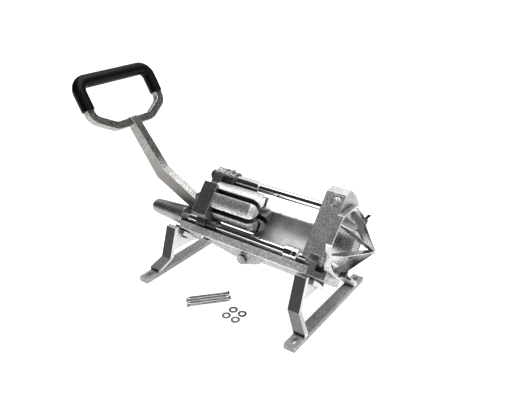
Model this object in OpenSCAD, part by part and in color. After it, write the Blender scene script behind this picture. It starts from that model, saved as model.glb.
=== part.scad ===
// Hand-lever french fry cutter that wedges a potato into six.
// X is the way the potato is pushed, Y runs across, Z is up.
// The origin is the middle of the front foot bar's underside, on the table.

/* [Stand] */
// Distance between the middles of the two foot bars
foot_span = 322; // [300:1:340]
// Length of a foot bar, across the machine
foot_bar_l = 242; // [220:1:260]
// Width of a foot bar
foot_bar_w = 22; // [22:0.5:30]
// Thickness of a foot bar
foot_bar_t = 9.5; // [8:0.5:12]
// Width of a fixing slot
slot_w = 8; // [6:0.5:10]
// Length of a fixing slot, end to end
slot_l = 18; // [14:1:24]
// Distance of a slot's middle from the end of its bar
slot_inset = 16; // [14:0.5:22]
// Width of a leg, along the machine
leg_w = 22; // [18:1:24]
// Thickness of a leg, across the machine
leg_t = 9; // [8:0.5:12]

/* [Channel and guide rods] */
// Height of the channel's centre line above the table
axis_z = 146.5; // [142:0.5:150]
// Angle between the table and the line through both guide rods
rod_tilt = 49.8; // [48:0.2:52]
// Distance of a guide rod from the channel's centre line
rod_offset = 45.4; // [44.8:0.1:46]
// Diameter of the guide rods
rod_d = 15.9; // [14:0.1:16.5]
// Diameter of the near rod's slim neck in front of the collar
neck_d = 12.7; // [10:0.1:13]
// Inner radius of the trough
trough_r = 47; // [46.5:0.1:48]
// Thickness of the trough sheet
trough_t = 2; // [1.5:0.1:2.2]
// Length of the trough
trough_l = 271; // [262:1:272]
// Thickness of the cast walls under the trough
wall_t = 4; // [3:0.5:5]
// Length of the channel casting behind the head
keel_l = 132; // [125:1:140]

/* [Head and blades] */
// Thickness of the head casting, along the machine
head_l = 34; // [32:1:36]
// Radius of the opening through the head
opening_r = 46; // [42:0.5:47]
// Half the width between the opening's two flats
opening_flat = 36.6; // [36.5:0.1:37.5]
// Thickness of the blade ring
ring_t = 8; // [6:0.5:10]
// Half the size of the blade ring across its flats
ring_half = 57; // [56:0.5:60]
// Number of blades
blade_n = 6; // [6:1:6]
// Thickness of a blade
blade_t = 1.4; // [1:0.1:2]
// Reach of the blades' tip in front of the head
blade_reach = 55; // [45:1:60]

/* [Carriage] */
// Travel of the carriage
stroke = 145; // [135:1:145]
// Thickness of the carriage plate
plate_t = 20; // [16:0.5:20]
// Half the width of the carriage plate
plate_half = 17; // [14:0.5:18]
// Radius of the pusher
pusher_r = 36; // [32:0.5:36]
// Length of the pusher's fingers
finger_l = 90; // [80:1:92]
// Gap between two fingers
finger_gap = 9; // [7:0.5:10]
// Diameter of the guide bushes
bush_d = 21; // [20:0.5:21.5]
// Length of the near bush
near_bush_l = 42; // [36:1:42]
// Length of the far bush
far_sleeve_l = 94; // [80:1:94]

/* [Lever] */
// Height of the lever's pivot above the table
pivot_z = 148.5; // [147:0.5:150]
// Diameter of the lever's pin
pin_d = 10; // [8:0.5:12]
// Thickness of the lever, across the machine
lever_t = 17; // [14:0.5:17]
// Length of the lever from its heel to the bend
lower_arm_l = 113; // [100:1:120]
// Slope of the lever up to the bend
lower_arm_a = 27; // [25:1:28]
// Length of the lever from the bend to the handle
upper_arm_l = 113; // [100:1:118]
// Slope of the lever above the bend
upper_arm_a = 52; // [45:0.2:55]
// Height of the lever's bar where it bends
arm_h = 27; // [22:0.5:29]
// Height of the handle, from the lever's end to the middle of its top bar
handle_h = 96; // [90:1:105]
// Slope of the handle
handle_a = 59.6; // [50:0.2:65]
// Width between the middles of the handle's two sides
handle_w = 171; // [160:1:185]
// Width of the handle's bare bar
handle_d = 15; // [12:0.5:16]
// Thickness of the handle's bare bar
handle_t = 14; // [10:0.5:15]
// Diameter of the grip
grip_d = 25; // [20:0.5:27]

/* [Linkage] */
// Distance between the lever's pivot and the link's pin
tail_l = 74.7; // [70:0.1:76]
// Angle of the lever's tail in front of straight down
tail_a = 12.4; // [10:0.1:14]
// Length of the swing link between its pins
link_l = 89.3; // [88:0.1:91]
// Slope of the swing link at rest
link_a = 9.7; // [9:0.1:12]
// Thickness of the swing link
link_t = 9; // [7:0.5:9]
// Height of the swing link
link_h = 19; // [16:0.5:22]
// Diameter of the link's two bolts
link_pin_d = 10; // [8:0.5:12]

/* [Loose fixings] */
// Length of a fixing screw
screw_l = 78; // [70:1:85]
// Diameter of a fixing screw
screw_d = 4.2; // [3.5:0.1:5]
// Outer diameter of a washer
washer_d = 16; // [14:0.5:17]
// Hole in a washer
washer_bore = 8.5; // [7:0.1:9]

/* [Hidden] */
$fn = 64;

// The unit of length
mm = 1;

// Clearances and one overrun for every cut
fit = 0.06;
seat = 0.3;
run_gap = 1.5;
over = 1;

// Places along the machine, from the middle of the stand
head_x = 146;
head_front_x = head_x + head_l;
trough_x = head_x - trough_l;
keel_x = head_x - keel_l;
collar_x = 93;
collar_l = 26;
plate_x = collar_x - stroke - near_bush_l;
plate_front_x = plate_x + plate_t;
pivot_x = plate_x - 11.4 * mm;

// Sizes of the castings in the tilted frame: rods run along its Y, its Z faces the loading side
low_side = 70;
belly = trough_r + trough_t + wall_t + seat;
rail_top = 12;
rail_w = 13;
rail_leg = 30;
strip_w = 14.4;
trough_start = 180 + asin(strip_w / trough_r);
trough_end = 292;
lip_w = 8;
rear_w = 33;
web_t = 6;

// Linkage ends
link_pin_x = pivot_x + tail_l * sin(tail_a);
link_pin_z = pivot_z - tail_l * cos(tail_a);
fulcrum_x = link_pin_x + link_l * cos(link_a);
fulcrum_z = link_pin_z - link_l * sin(link_a);
eye_r = 12;
link_gap = 1;
link_y = -lever_t / 2 - link_gap - link_t;
cheek_t = 5.5;
cheek_gap = 0.6;
tail_h = 18;
heel_r = 12;
heel_back = 5.6;
heel_drop = 29;
arm_top_h = 20;

function turn(l, a) = [l * cos(a), l * sin(a)];
pivot = [pivot_x, pivot_z];
heel = pivot - [heel_back, heel_drop];
bend = heel + turn(lower_arm_l, 180 - lower_arm_a);
handle_foot = bend + turn(upper_arm_l, 180 - upper_arm_a);
link_pin = [link_pin_x, link_pin_z];
fulcrum = [fulcrum_x, fulcrum_z];

function dist(p, q) = norm(q - p);
function heading(p, q) = atan2(q[1] - p[1], q[0] - p[0]);

// The machine stands with its front foot at the origin
module placed() translate([-foot_span / 2, 0, 0]) children();

// Frame of the channel, with Y along the line of the rods
module tilted() translate([0, 0, axis_z]) rotate([rod_tilt, 0, 0]) children();

// Outline in Y and Z, carried along X from x0 to x1
module along_x(x0, x1) translate([x0, 0, 0]) rotate([90, 0, 90]) linear_extrude(x1 - x0) children();

// Outline in X and Z, carried along Y from y0 to y1
module along_y(y0, y1) translate([0, y1, 0]) rotate([90, 0, 0]) linear_extrude(y1 - y0) children();

// Round bar along X or along Y
module bar_x(x0, x1, d) translate([x0, 0, 0]) rotate([0, 90, 0]) cylinder(h = x1 - x0, d = d);
module bar_y(y0, y1, d) translate([0, y1, 0]) rotate([90, 0, 0]) cylinder(h = y1 - y0, d = d);

// Places of the two rods
module at_near_rod() tilted() translate([0, -rod_offset, 0]) children();
module at_far_rod() tilted() translate([0, rod_offset, 0]) children();

// Hexagonal nut or bolt head along X
module hex_x(x0, x1, flats) translate([x0, 0, 0]) rotate([0, 90, 0])
    cylinder(h = x1 - x0, d = flats / cos(30), $fn = 6);

// Flat bar between two points of an outline, with round ends of their own size
module strut(p, q, rp, rq) {
    way = (q - p) / dist(p, q);
    side = [-way[1], way[0]];
    polygon([p + side * rp, p - side * rp, q - side * rq, q + side * rq]);
    translate(p) circle(rp);
    translate(q) circle(rq);
}

/* Head and blades */

head_high = 75;
head_wall = 50;
pocket_in = 38.6;
pocket_out = 60;
pocket_floor = 13;
pocket_rear = 12;
pocket_skin = 4;
near_cut = 47;
head_foot_share = 0.6;
stud_at = [46, -27];
stud_d = 6;
stud_depth = 24;
stud_out = 9;

module head_outline() polygon([
    [-low_side, -belly], [-low_side, rail_top], [-near_cut, rail_top + 2 * mm],
    [-near_cut, head_wall], [head_high - rail_w, head_wall], [head_high, head_wall - rail_w],
    [head_high, rail_top], [pocket_out, -head_wall * head_foot_share], [rod_offset * head_foot_share * 1.5, -belly]
]);

module opening_outline() intersection() {
    circle(opening_r);
    square([2 * opening_flat, 2 * opening_r], center = true);
}

module head_pocket(x0, x1) along_x(x0, x1)
    translate([pocket_in, -pocket_floor])
        square([pocket_out - pocket_in, head_wall + pocket_floor + over]);

module at_studs() tilted() for (s = [-1, 1]) translate([0, s * stud_at[0], stud_at[1]]) children();

module head_casting() placed() color("darkgray") difference() {
    tilted() difference() {
        union() {
            along_x(head_x, head_front_x) head_outline();
            translate([0, -rod_offset, 0]) bar_x(head_x - pocket_rear * 0.8, head_x, bush_d);
        }
        along_x(head_x - over, head_front_x + over) opening_outline();
        head_pocket(head_x + pocket_rear, head_front_x - pocket_skin);
        mirror([0, 1, 0]) head_pocket(head_x + pocket_rear, head_front_x - pocket_skin);
        for (s = [-1, 1]) translate([0, s * rod_offset, 0])
            bar_x(head_x - pocket_rear - over, head_front_x + over, rod_thread_d + 2 * fit);
    }
    at_studs() bar_x(head_front_x - stud_depth, head_front_x + over, stud_d + 2 * fit);
}

// Blade ring: an eight-sided frame with a raised rim
ring_x = head_front_x + seat / 3;
ring_front_x = ring_x + ring_t;
rim_h = 2;
rim_w = 3;
ring_r = opening_r;
ring_flare = 6;
blade_seat = 4;

module octagon(half) rotate(22.5) circle(r = half / cos(22.5), $fn = 8);

module blade_ring() placed() color("silver") difference() {
    translate([0, 0, axis_z]) difference() {
        union() {
            along_x(ring_x, ring_front_x) octagon(ring_half);
            along_x(ring_x, ring_front_x + rim_h) difference() {
                octagon(ring_half);
                octagon(ring_half - rim_w);
            }
        }
        rotate([0, 90, 0]) rotate_extrude() polygon([
            [0, ring_x - over], [ring_r, ring_x - over], [ring_r, ring_front_x - ring_flare],
            [ring_r + ring_flare, ring_front_x], [ring_r + ring_flare, ring_front_x + rim_h + over],
            [0, ring_front_x + rim_h + over]
        ]);
        for (i = [0 : blade_n - 1]) rotate([i * 360 / blade_n, 0, 0])
            translate([ring_x - over, 0, -blade_t / 2 - fit])
                cube([ring_t + over, ring_r + blade_seat + fit, blade_t + 2 * fit]);
    }
    at_studs() bar_x(ring_x - over, ring_front_x + rim_h + over, stud_d + 2 * fit);
    at_studs() bar_x(ring_front_x, ring_front_x + rim_h + over, nut_hub_d + 2 * seat);
}

// One blade lies in a plane through the centre line and sweeps forward to the tip
blade_in = 3;
blade_root_share = 1.7;
blade_w = 13;
tip_x = ring_x + blade_reach;
blade_root_x = ring_x + 2 * mm;

module blade_outline() polygon([
    [blade_root_x, ring_r + blade_seat], [blade_root_x, ring_r], [tip_x - blade_w, blade_in],
    [tip_x, blade_in], [blade_root_x + blade_w * blade_root_share, ring_r * 0.9],
    [ring_front_x - over, ring_r + blade_seat]
]);

module wedge_blades() placed() color("gainsboro") translate([0, 0, axis_z])
    for (i = [0 : blade_n - 1]) rotate([i * 360 / blade_n, 0, 0])
        translate([0, 0, -blade_t / 2]) linear_extrude(blade_t) blade_outline();

hub_r = 5;

module blade_hub() placed() color("silver") translate([0, 0, axis_z]) difference() {
    rotate([0, 90, 0]) rotate_extrude() polygon([
        [0, tip_x - blade_w * 0.8], [hub_r * 0.7, tip_x - blade_w * 0.8], [hub_r, tip_x - blade_w * 0.5],
        [hub_r, tip_x - over], [hub_r * 0.6, tip_x + over], [0, tip_x + over]
    ]);
    for (i = [0 : blade_n - 1]) rotate([i * 360 / blade_n, 0, 0])
        translate([tip_x - blade_w - over, blade_in - fit, -blade_t / 2 - fit])
            cube([blade_w + 3 * over, hub_r, blade_t + 2 * fit]);
}

module ring_studs() placed() color("dimgray") at_studs()
    bar_x(head_front_x - stud_depth + fit, ring_front_x + stud_out, stud_d);

nut_hub_d = 11;
nut_h = 8;
wing_span = 26;
wing_t = 3;
wing_turn = [70, 20];

module wing_nuts() placed() color("dimgray") tilted() for (i = [0, 1])
    translate([ring_front_x + seat / 3, (2 * i - 1) * stud_at[0], stud_at[1]])
        rotate([wing_turn[i], 0, 0]) difference() {
            union() {
                bar_x(0, nut_h, nut_hub_d);
                for (s = [-1, 1]) mirror([0, s < 0 ? 1 : 0, 0]) translate([rim_h + seat, 0, -wing_t / 2])
                    linear_extrude(wing_t) polygon([
                        [0, nut_hub_d * 0.3], [nut_h * 0.6, nut_hub_d * 0.3],
                        [nut_h * 1.4, wing_span / 2], [nut_h * 0.7, wing_span / 2]
                    ]);
            }
            bar_x(-over, nut_h * 2, stud_d + 2 * fit);
        }

/* Rods */

rod_rear_x = -203;
near_slim_x = collar_x + collar_l;
rod_thread_d = 8;
rod_nut_flats = 13;
rod_nut_l = 7;
thread_out = 4;
near_thread_x = head_x + pocket_rear + rod_nut_l + thread_out;
far_rod_x = plate_x - 7 * mm;
cap_l = 9;
cap_d = 19;
cap_thread_l = 8;

module near_guide_rod() placed() color("silver") at_near_rod() {
    bar_x(rod_rear_x, near_slim_x, rod_d);
    bar_x(near_slim_x, head_x - pocket_rear * 0.8, neck_d);
    bar_x(head_x - pocket_rear, near_thread_x, rod_thread_d);
}

module far_guide_rod() placed() color("silver") at_far_rod() {
    bar_x(far_rod_x, head_x, rod_d);
    bar_x(head_x - over, near_thread_x, rod_thread_d);
}

collar_d = 24;
collar_groove = 1;

module bumper_collar() placed() color("silver") at_near_rod() translate([collar_x, 0, 0])
    rotate([0, 90, 0]) rotate_extrude() polygon([
        [rod_d / 2 + fit, 0], [collar_d / 2 - collar_groove, 0], [collar_d / 2, collar_groove],
        [collar_d / 2, collar_l * 0.62], [collar_d / 2 - collar_groove, collar_l * 0.65],
        [collar_d / 2 - collar_groove, collar_l * 0.7], [collar_d / 2, collar_l * 0.73],
        [collar_d / 2, collar_l - collar_groove], [collar_d / 2 - collar_groove, collar_l],
        [rod_d / 2 + fit, collar_l]
    ]);

module rod_front_nuts() placed() color("silver") tilted()
    for (s = [-1, 1]) translate([0, s * rod_offset, 0]) difference() {
        hex_x(head_x + pocket_rear + seat / 3, head_x + pocket_rear + rod_nut_l, rod_nut_flats);
        bar_x(head_x, near_thread_x, rod_thread_d + 2 * fit);
    }

// Domed cap that closes the rear end of a rod
module rear_cap(x1) translate([x1, 0, 0]) rotate([0, -90, 0]) rotate_extrude() polygon([
    [0, seat / 3], [cap_d / 2 - over, seat / 3], [cap_d / 2, over],
    [cap_d / 2, cap_l * 0.55], [cap_d * 0.36, cap_l * 0.85], [cap_d * 0.2, cap_l], [0, cap_l]
]);

module rod_rear_caps() placed() color("dimgray") {
    at_near_rod() rear_cap(rod_rear_x);
    at_far_rod() rear_cap(far_rod_x);
}

/* Channel */

slot_near_y = -21.5;
slot_far_y = 10;
slot_front_x = 2;

// Angles in the tilted frame are measured from its Y towards its Z
module trough_sheet() tilted() {
    rotate([trough_start, 0, 0]) rotate([90, 0, 90]) rotate_extrude(angle = trough_end - trough_start)
        translate([trough_r, 0]) square([trough_t, trough_l]);
}

module trough_edges() tilted() along_x(trough_x, head_x) {
    translate([-low_side + wall_t, -strip_w - trough_t])
        square([low_side - wall_t - trough_r * cos(trough_start - 180), trough_t]);
    rotate(trough_end) translate([trough_r + trough_t / 2, -trough_t]) square([lip_w, trough_t]);
}

module trough() placed() color("slategray") difference() {
    union() {
        translate([trough_x, 0, 0]) trough_sheet();
        trough_edges();
    }
    translate([trough_x - over, slot_near_y, 0])
        cube([slot_front_x - trough_x + over, slot_far_y - slot_near_y, axis_z]);
    at_lip_screws() translate([0, 0, -over]) cylinder(h = trough_t + 2 * over, d = lip_screw_d + 2 * fit);
}

lip_screw_d = 4;
lip_screw_n = 4;
lip_head_d = 7;
lip_head_h = 2;

module at_lip_screws() tilted() for (i = [0 : lip_screw_n - 1])
    translate([keel_x + (i + 0.5) * keel_l / lip_screw_n, 0, 0])
        rotate([trough_end - 270, 0, 0]) translate([0, 0, -trough_r - lip_w * 0.6])
            rotate([90, 0, 0]) children();

// Cradle of two plates and ribs that stiffens the trough in front of the link
keel_low = low_side + 6 * mm;
keel_belly = belly + 5 * mm;
lip_u = trough_r * cos(trough_end) - seat;

// Two plates that meet in a ridge, with the walls measured square to the frame
plate_top = rail_top - rail_leg;

module cradle_profile() polygon([
    [-low_side, plate_top], [-keel_low, -keel_belly], [lip_u, -belly],
    [lip_u, -belly + wall_t], [-keel_low + wall_t, -keel_belly + wall_t], [-low_side + wall_t, plate_top]
]);

// Space between the plates and the trough, up to a height, clear of the trough's lip
module web_outline(top) difference() {
    polygon([[-low_side, top], [-low_side, plate_top - over], [-keel_low, -keel_belly],
        [lip_u, -belly], [lip_u, top]]);
    circle(trough_r + trough_t + seat / 3, $fn = 128);
    translate([lip_u - trough_t, -belly + wall_t]) square(2 * belly);
}

cheek_near_y = link_y - cheek_gap - cheek_t;
cheek_far_y = link_y + link_t + cheek_gap + cheek_t;

module cheek_outline() {
    strut(fulcrum, fulcrum + [eye_r * 2.6, eye_r * 0.75], eye_r - over, eye_r * 0.8);
}

module trough_keel() placed() color("darkgray") difference() {
    union() {
        tilted() {
            along_x(keel_x, head_x) cradle_profile();
            along_x(keel_x, keel_x + web_t) web_outline(plate_top);
            along_x(head_x - web_t, head_x) web_outline(plate_top);
        }
        for (y = [cheek_near_y, cheek_far_y - cheek_t])
            along_y(y, y + cheek_t) cheek_outline();
    }
    translate([keel_x - over, link_y - cheek_gap, 0])
        cube([eye_r * 1.2, link_t + 2 * cheek_gap, axis_z]);
    at_fulcrum() {
        bar_y(link_y - eye_r, link_y + link_t + eye_r, link_pin_d + 2 * fit);
        bar_y(cheek_far_y + seat / 6, cheek_far_y + fulcrum_head + 2 * seat, nut_flats / cos(30) + 2 * seat);
        bar_y(cheek_near_y - fulcrum_nut_h - 2 * over, cheek_near_y - seat / 6, nut_flats / cos(30) + 2 * seat);
    }
    at_frame_bolts(leg_front_x, [-1]) bolt_shank(2 * fit);
}

module side_rail() placed() color("gray") tilted() along_x(trough_x, head_x) {
    translate([-low_side, rail_top - wall_t]) square([rail_w, wall_t]);
    translate([-low_side, plate_top]) square([wall_t, rail_leg]);
}

module trough_screws() placed() color("silver") at_lip_screws() {
    translate([0, 0, -seat / 3]) cylinder(h = trough_t, d = lip_screw_d);
    translate([0, 0, -seat / 3 - lip_head_h]) cylinder(h = lip_head_h, d1 = lip_screw_d, d2 = lip_head_d);
}

// Rear casting: a cone round the near rod on a web that carries the rear of the trough
cone_small_d = 27;
cone_large_d = 40;
cone_back_share = 0.12;

module rear_casting() placed() color("darkgray") difference() {
    tilted() union() {
        translate([0, -rod_offset, 0]) rotate([0, 90, 0]) rotate_extrude() polygon([
            [0, rod_rear_x], [cone_small_d / 2, rod_rear_x],
            [cone_small_d / 2 + over, rod_rear_x + (trough_x - rod_rear_x) * cone_back_share],
            [cone_large_d / 2 - over, trough_x - web_t], [cone_large_d / 2 - over, trough_x - seat / 3],
            [0, trough_x - seat / 3]
        ]);
        along_x(trough_x - web_t, trough_x - seat / 3) web_outline(0);
        along_x(trough_x - web_t, trough_x + web_t) web_outline(plate_top - seat / 3);
        along_x(trough_x - rear_w, trough_x + web_t) cradle_profile();
    }
    at_near_rod() bar_x(rod_rear_x - over, trough_x + over, rod_d + 2 * fit);
    at_frame_bolts(leg_rear_x) bolt_shank(2 * fit);
}

/* Stand */

leg_front_x = 139;
leg_rear_x = -144;
leg_top_y = 52;
leg_near_z = 94;
leg_far_z = 112;
knee_y = 71;
knee_z = 37;
foot_y = 87;
pad_t = 6;
saddle_t = 5;
saddle_half = 14;
frame_bolt_d = 5;
frame_head_d = 9;
frame_head_h = 3.5;
frame_bolt_l = 15;

// Bolts through the saddle into the cast walls, on both sides of the ridge
module at_frame_bolts(x, sides = [-1, 1]) tilted() {
    for (s = sides) translate([x + s * (web_t / 2 + frame_head_d / 2 + seat), 0, 0]) {
        translate([0, -keel_low - saddle_t, -belly * 0.62]) rotate([-90, 0, 0]) children();
        translate([0, -low_side * 0.35, -keel_belly - saddle_t]) children();
    }
}

module bolt_shank(extra) translate([0, 0, -extra]) cylinder(h = frame_bolt_l + extra, d = frame_bolt_d + extra);

// Half of the stand's outline, from the saddle down to the knee
module leg_outline(top_y, top_z) {
    polygon([
        [top_y + leg_t / 2, top_z], [top_y - leg_t / 2, top_z],
        [knee_y - leg_t / 2, knee_z], [knee_y + leg_t / 2, knee_z]
    ]);
}

module leg_kick(x, bar_x) hull() {
    translate([x - leg_w / 2, knee_y - leg_t / 2, knee_z - over]) cube([leg_w, leg_t, over]);
    translate([bar_x - leg_w / 2, foot_y - leg_t / 2, foot_bar_t + seat / 3])
        cube([leg_w, leg_t, pad_t - seat]);
}

module saddle_outline() {
    translate([-keel_low - saddle_t, -keel_belly - saddle_t]) square([saddle_t * 1.6, belly * 0.9]);
    translate([-keel_low - saddle_t, -keel_belly - saddle_t]) square([low_side * 1.15, saddle_t * 1.6]);
}

ridge_y = -keel_low * cos(rod_tilt) + keel_belly * sin(rod_tilt);
ridge_z = axis_z - keel_low * sin(rod_tilt) - keel_belly * cos(rod_tilt);

// Everything on the channel's side of the saddle
module cradle_room(gap) polygon([
    [-low_side - gap, 2 * head_wall], [-low_side - gap, plate_top],
    [-keel_low - gap, -keel_belly - gap], [lip_u, -belly - gap],
    [3 * low_side, -belly - gap], [3 * low_side, 2 * head_wall]
]);

module stand(x, bar_x, sides) difference() {
    union() {
        tilted() along_x(x - saddle_half, x + saddle_half) saddle_outline();
        for (s = [-1, 1]) mirror([0, s < 0 ? 1 : 0, 0]) {
            along_x(x - leg_w / 2, x + leg_w / 2) leg_outline(leg_top_y, s < 0 ? leg_near_z : leg_far_z);
            leg_kick(x, bar_x);
        }
        along_x(x - web_t / 2, x + web_t / 2) polygon([
            [ridge_y, ridge_z], [leg_top_y, leg_far_z], [knee_y, knee_z + leg_t],
            [ridge_y, ridge_z - saddle_t * 2], [-knee_y, knee_z + leg_t], [-leg_top_y, leg_near_z]
        ]);
    }
    tilted() along_x(x - leg_w, x + leg_w) cradle_room(seat / 3);
    at_frame_bolts(x, sides) bolt_shank(2 * fit);
    at_foot_screws(bar_x) foot_screw(2 * fit);
}

module at_foot_screws(bar_x) for (s = [-1, 1]) translate([bar_x, s * foot_y, 0]) children();

foot_screw_d = 6;
foot_screw_head = 11;

module foot_screw(extra) {
    cylinder(h = foot_bar_t + pad_t - over, d = foot_screw_d + extra);
    cylinder(h = foot_screw_head - foot_screw_d, d1 = 2 * foot_screw_head - foot_screw_d + extra * 2,
        d2 = foot_screw_d + extra);
}

module foot_bar(x) difference() {
    hull() for (e = [0, over]) translate([x - foot_bar_w / 2 + over - e, -foot_bar_l / 2 + e, e])
        cube([foot_bar_w - 2 * over + 2 * e, foot_bar_l - 2 * e, foot_bar_t - 2 * e]);
    for (s = [-1, 1]) translate([x, s * (foot_bar_l / 2 - slot_inset), -over]) {
        for (e = [-1, 1]) translate([0, e * (slot_l - slot_w) / 2, 0])
            cylinder(h = foot_bar_t + 2 * over, d = slot_w);
        translate([-slot_w / 2, -(slot_l - slot_w) / 2, 0])
            cube([slot_w, slot_l - slot_w, foot_bar_t + 2 * over]);
    }
    at_foot_screws(x) translate([0, 0, -fit]) foot_screw(2 * fit);
}

bar_front_x = foot_span / 2;
bar_rear_x = -foot_span / 2;

module front_legs() placed() color("dimgray") stand(leg_front_x, bar_front_x, [-1]);
module rear_legs() placed() color("dimgray") stand(leg_rear_x, bar_rear_x, [-1, 1]);
module front_foot_bar() placed() color("darkgray") foot_bar(bar_front_x);
module rear_foot_bar() placed() color("darkgray") foot_bar(bar_rear_x);

module foot_screws() placed() color("dimgray")
    for (x = [bar_rear_x, bar_front_x]) at_foot_screws(x) foot_screw(0);

module frame_bolt() translate([0, 0, -seat / 3]) {
    cylinder(h = frame_bolt_l, d = frame_bolt_d);
    translate([0, 0, -frame_head_h]) cylinder(h = frame_head_h, d = frame_head_d);
}

module frame_bolts() placed() color("silver") {
    at_frame_bolts(leg_rear_x) frame_bolt();
    at_frame_bolts(leg_front_x, [-1]) frame_bolt();
}

/* Linkage pins on the frame */

fulcrum_head = 5;
fulcrum_tail = 6;
fulcrum_nut_h = 6;
nut_flats = 16;

module at_fulcrum() translate([fulcrum_x, 0, fulcrum_z]) children();

module fulcrum_bolt() placed() color("dimgray") at_fulcrum() {
    bar_y(cheek_near_y - fulcrum_nut_h - over, cheek_far_y + seat, link_pin_d);
    translate([0, cheek_far_y + seat / 3 + fulcrum_head, 0]) rotate([90, 0, 0])
        cylinder(h = fulcrum_head, d = nut_flats / cos(30), $fn = 6);
}

module fulcrum_nut() placed() color("black") at_fulcrum() difference() {
    translate([0, cheek_near_y - seat / 3, 0]) rotate([90, 0, 0])
        cylinder(h = fulcrum_nut_h, d = nut_flats / cos(30), $fn = 6);
    bar_y(link_y - cheek_t - 2 * fulcrum_nut_h, link_y, link_pin_d + 2 * fit);
}

/* Loose fixings on the table */

screw_head_r = 3.9;
screw_pitch = 7.4;
screw_tip = 8;
screw_head_h = 3.5;
screws_at = [-24.7, -94.8];
screws_turn = 47.4;
washers_at = [37.4, -100.4];
washer_t = 1.6;
washer_pitch = 19.4;

module mounting_screws() placed() color("silver")
    translate([screws_at[0], screws_at[1], screw_head_r]) rotate([0, 0, screws_turn])
        for (i = [0 : 3]) translate([0, (i - 1.5) * screw_pitch, 0]) rotate([0, 0, 180 * (i % 2)])
            rotate([0, 90, 0]) rotate_extrude() polygon([
                [0, -screw_l / 2], [screw_head_r, -screw_l / 2], [screw_head_r, -screw_l / 2 + over / 2],
                [screw_d / 2, -screw_l / 2 + screw_head_h], [screw_d / 2, screw_l / 2 - screw_tip],
                [0, screw_l / 2]
            ]);

module mounting_washers() placed() color("silver")
    for (i = [-0.5, 0.5], j = [-0.5, 0.5])
        translate([washers_at[0] + i * washer_pitch, washers_at[1] + j * washer_pitch, 0]) difference() {
            cylinder(h = washer_t, d = washer_d);
            translate([0, 0, -over]) cylinder(h = washer_t + 2 * over, d = washer_bore);
        }

/* Carriage */

near_end_r = 13;
far_boss_r = 15;
far_boss_l = 43;
lug_t = 7;
lug_gap = 0.5;
lug_r = 11;

module plate_outline() {
    strut([-rod_offset * 0.62, 0], [rod_offset, 0], plate_half, plate_half);
    strut([-rod_offset, 0], [-rod_offset * 0.62, 0], near_end_r, plate_half);
}

module carriage_plate() placed() color("darkgray") difference() {
    union() {
        tilted() {
            along_x(plate_x, plate_front_x) plate_outline();
            translate([0, rod_offset, 0]) bar_x(plate_x, plate_front_x + far_boss_l - plate_t, 2 * far_boss_r);
        }
        for (s = [-1, 1]) mirror([0, s < 0 ? 1 : 0, 0])
            along_y(lever_t / 2 + lug_gap, lever_t / 2 + lug_gap + lug_t) {
                strut(pivot, pivot + [lug_r * 1.6, 0], lug_r, lug_r);
            }
    }
    at_near_rod() bar_x(plate_x - over, plate_front_x + over, bush_d + 2 * fit);
    at_far_rod() bar_x(plate_x - over, plate_front_x + far_boss_l + over, bush_d + 2 * fit);
    translate([pivot_x, 0, pivot_z]) bar_y(-lever_t - lug_t, lever_t + lug_t, pin_d + 2 * fit);
    at_sleeve_screw() translate([0, 0, -over]) cylinder(h = far_boss_r, d = sleeve_screw_d + 2 * fit);
    at_pusher_screws() bar_x(-plate_t - over, over, pusher_screw_d + 2 * fit);
}

module guide_bush(x0, l) difference() {
    bar_x(x0, x0 + l, bush_d);
    bar_x(x0 - over, x0 + l + over, rod_d + 2 * fit);
}

module near_bush() placed() color("gray") at_near_rod() guide_bush(plate_x, near_bush_l - seat);
module far_sleeve() placed() color("silver") at_far_rod() guide_bush(plate_x, far_sleeve_l);

sleeve_screw_d = 4;
sleeve_screw_head = 8;

module at_sleeve_screw() tilted()
    translate([plate_x + far_boss_l * 0.82, rod_offset, 0]) rotate([-rod_tilt, 0, 0])
        translate([0, 0, bush_d / 2]) children();

module sleeve_screw() placed() color("silver") at_sleeve_screw() {
    translate([0, 0, seat]) cylinder(h = far_boss_r - bush_d / 2, d = sleeve_screw_d);
    translate([0, 0, far_boss_r - bush_d / 2 + seat / 3]) cylinder(h = sleeve_screw_d * 0.8, d = sleeve_screw_head);
}

// Pusher: fingers that stand between the planes of the blades
pusher_base_t = 8;
finger_chamfer = 7;
tip_x_pusher = plate_front_x + pusher_base_t + finger_l;
core_r = 11;

finger_edge = 4;

module pusher_head() placed() color("darkgray") difference() {
    translate([0, 0, axis_z]) difference() {
        rotate([0, 90, 0]) rotate_extrude() polygon([
            [0, plate_front_x + seat / 3], [pusher_r * 0.9, plate_front_x + seat / 3],
            [pusher_r, plate_front_x + over], [pusher_r, tip_x_pusher - finger_chamfer],
            [pusher_r - finger_chamfer * 0.8, tip_x_pusher], [core_r + finger_chamfer * 0.6, tip_x_pusher],
            [core_r, tip_x_pusher - finger_chamfer], [core_r, plate_front_x + pusher_base_t],
            [0, plate_front_x + pusher_base_t]
        ]);
        for (i = [0 : blade_n - 1]) rotate([i * 360 / blade_n, 0, 0]) {
            translate([plate_front_x + pusher_base_t, 0, -finger_gap / 2])
                cube([finger_l + over, 2 * pusher_r, finger_gap]);
            translate([plate_front_x + pusher_base_t, pusher_r, 0]) rotate([45, 0, 0])
                translate([0, -finger_edge, -finger_edge])
                    cube([finger_l + over, 2 * finger_edge, 2 * finger_edge]);
        }
    }
    at_near_rod() bar_x(plate_x, tip_x_pusher + over, max(bush_d, collar_d) + run_gap);
    at_far_rod() bar_x(plate_x, tip_x_pusher + over, 2 * far_boss_r + 2 * seat);
    at_pusher_screws() bar_x(-over, pusher_base_t + over, pusher_screw_d + 2 * fit);
}

pusher_screw_d = 5;
pusher_screw_at = 4.5;

module at_pusher_screws() tilted() for (s = [-1, 1])
    translate([plate_front_x, s * rod_offset * 0.44, 0]) children();

module pusher_screws() placed() color("dimgray") at_pusher_screws()
    bar_x(-plate_t + over, pusher_base_t - over, pusher_screw_d);

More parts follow.
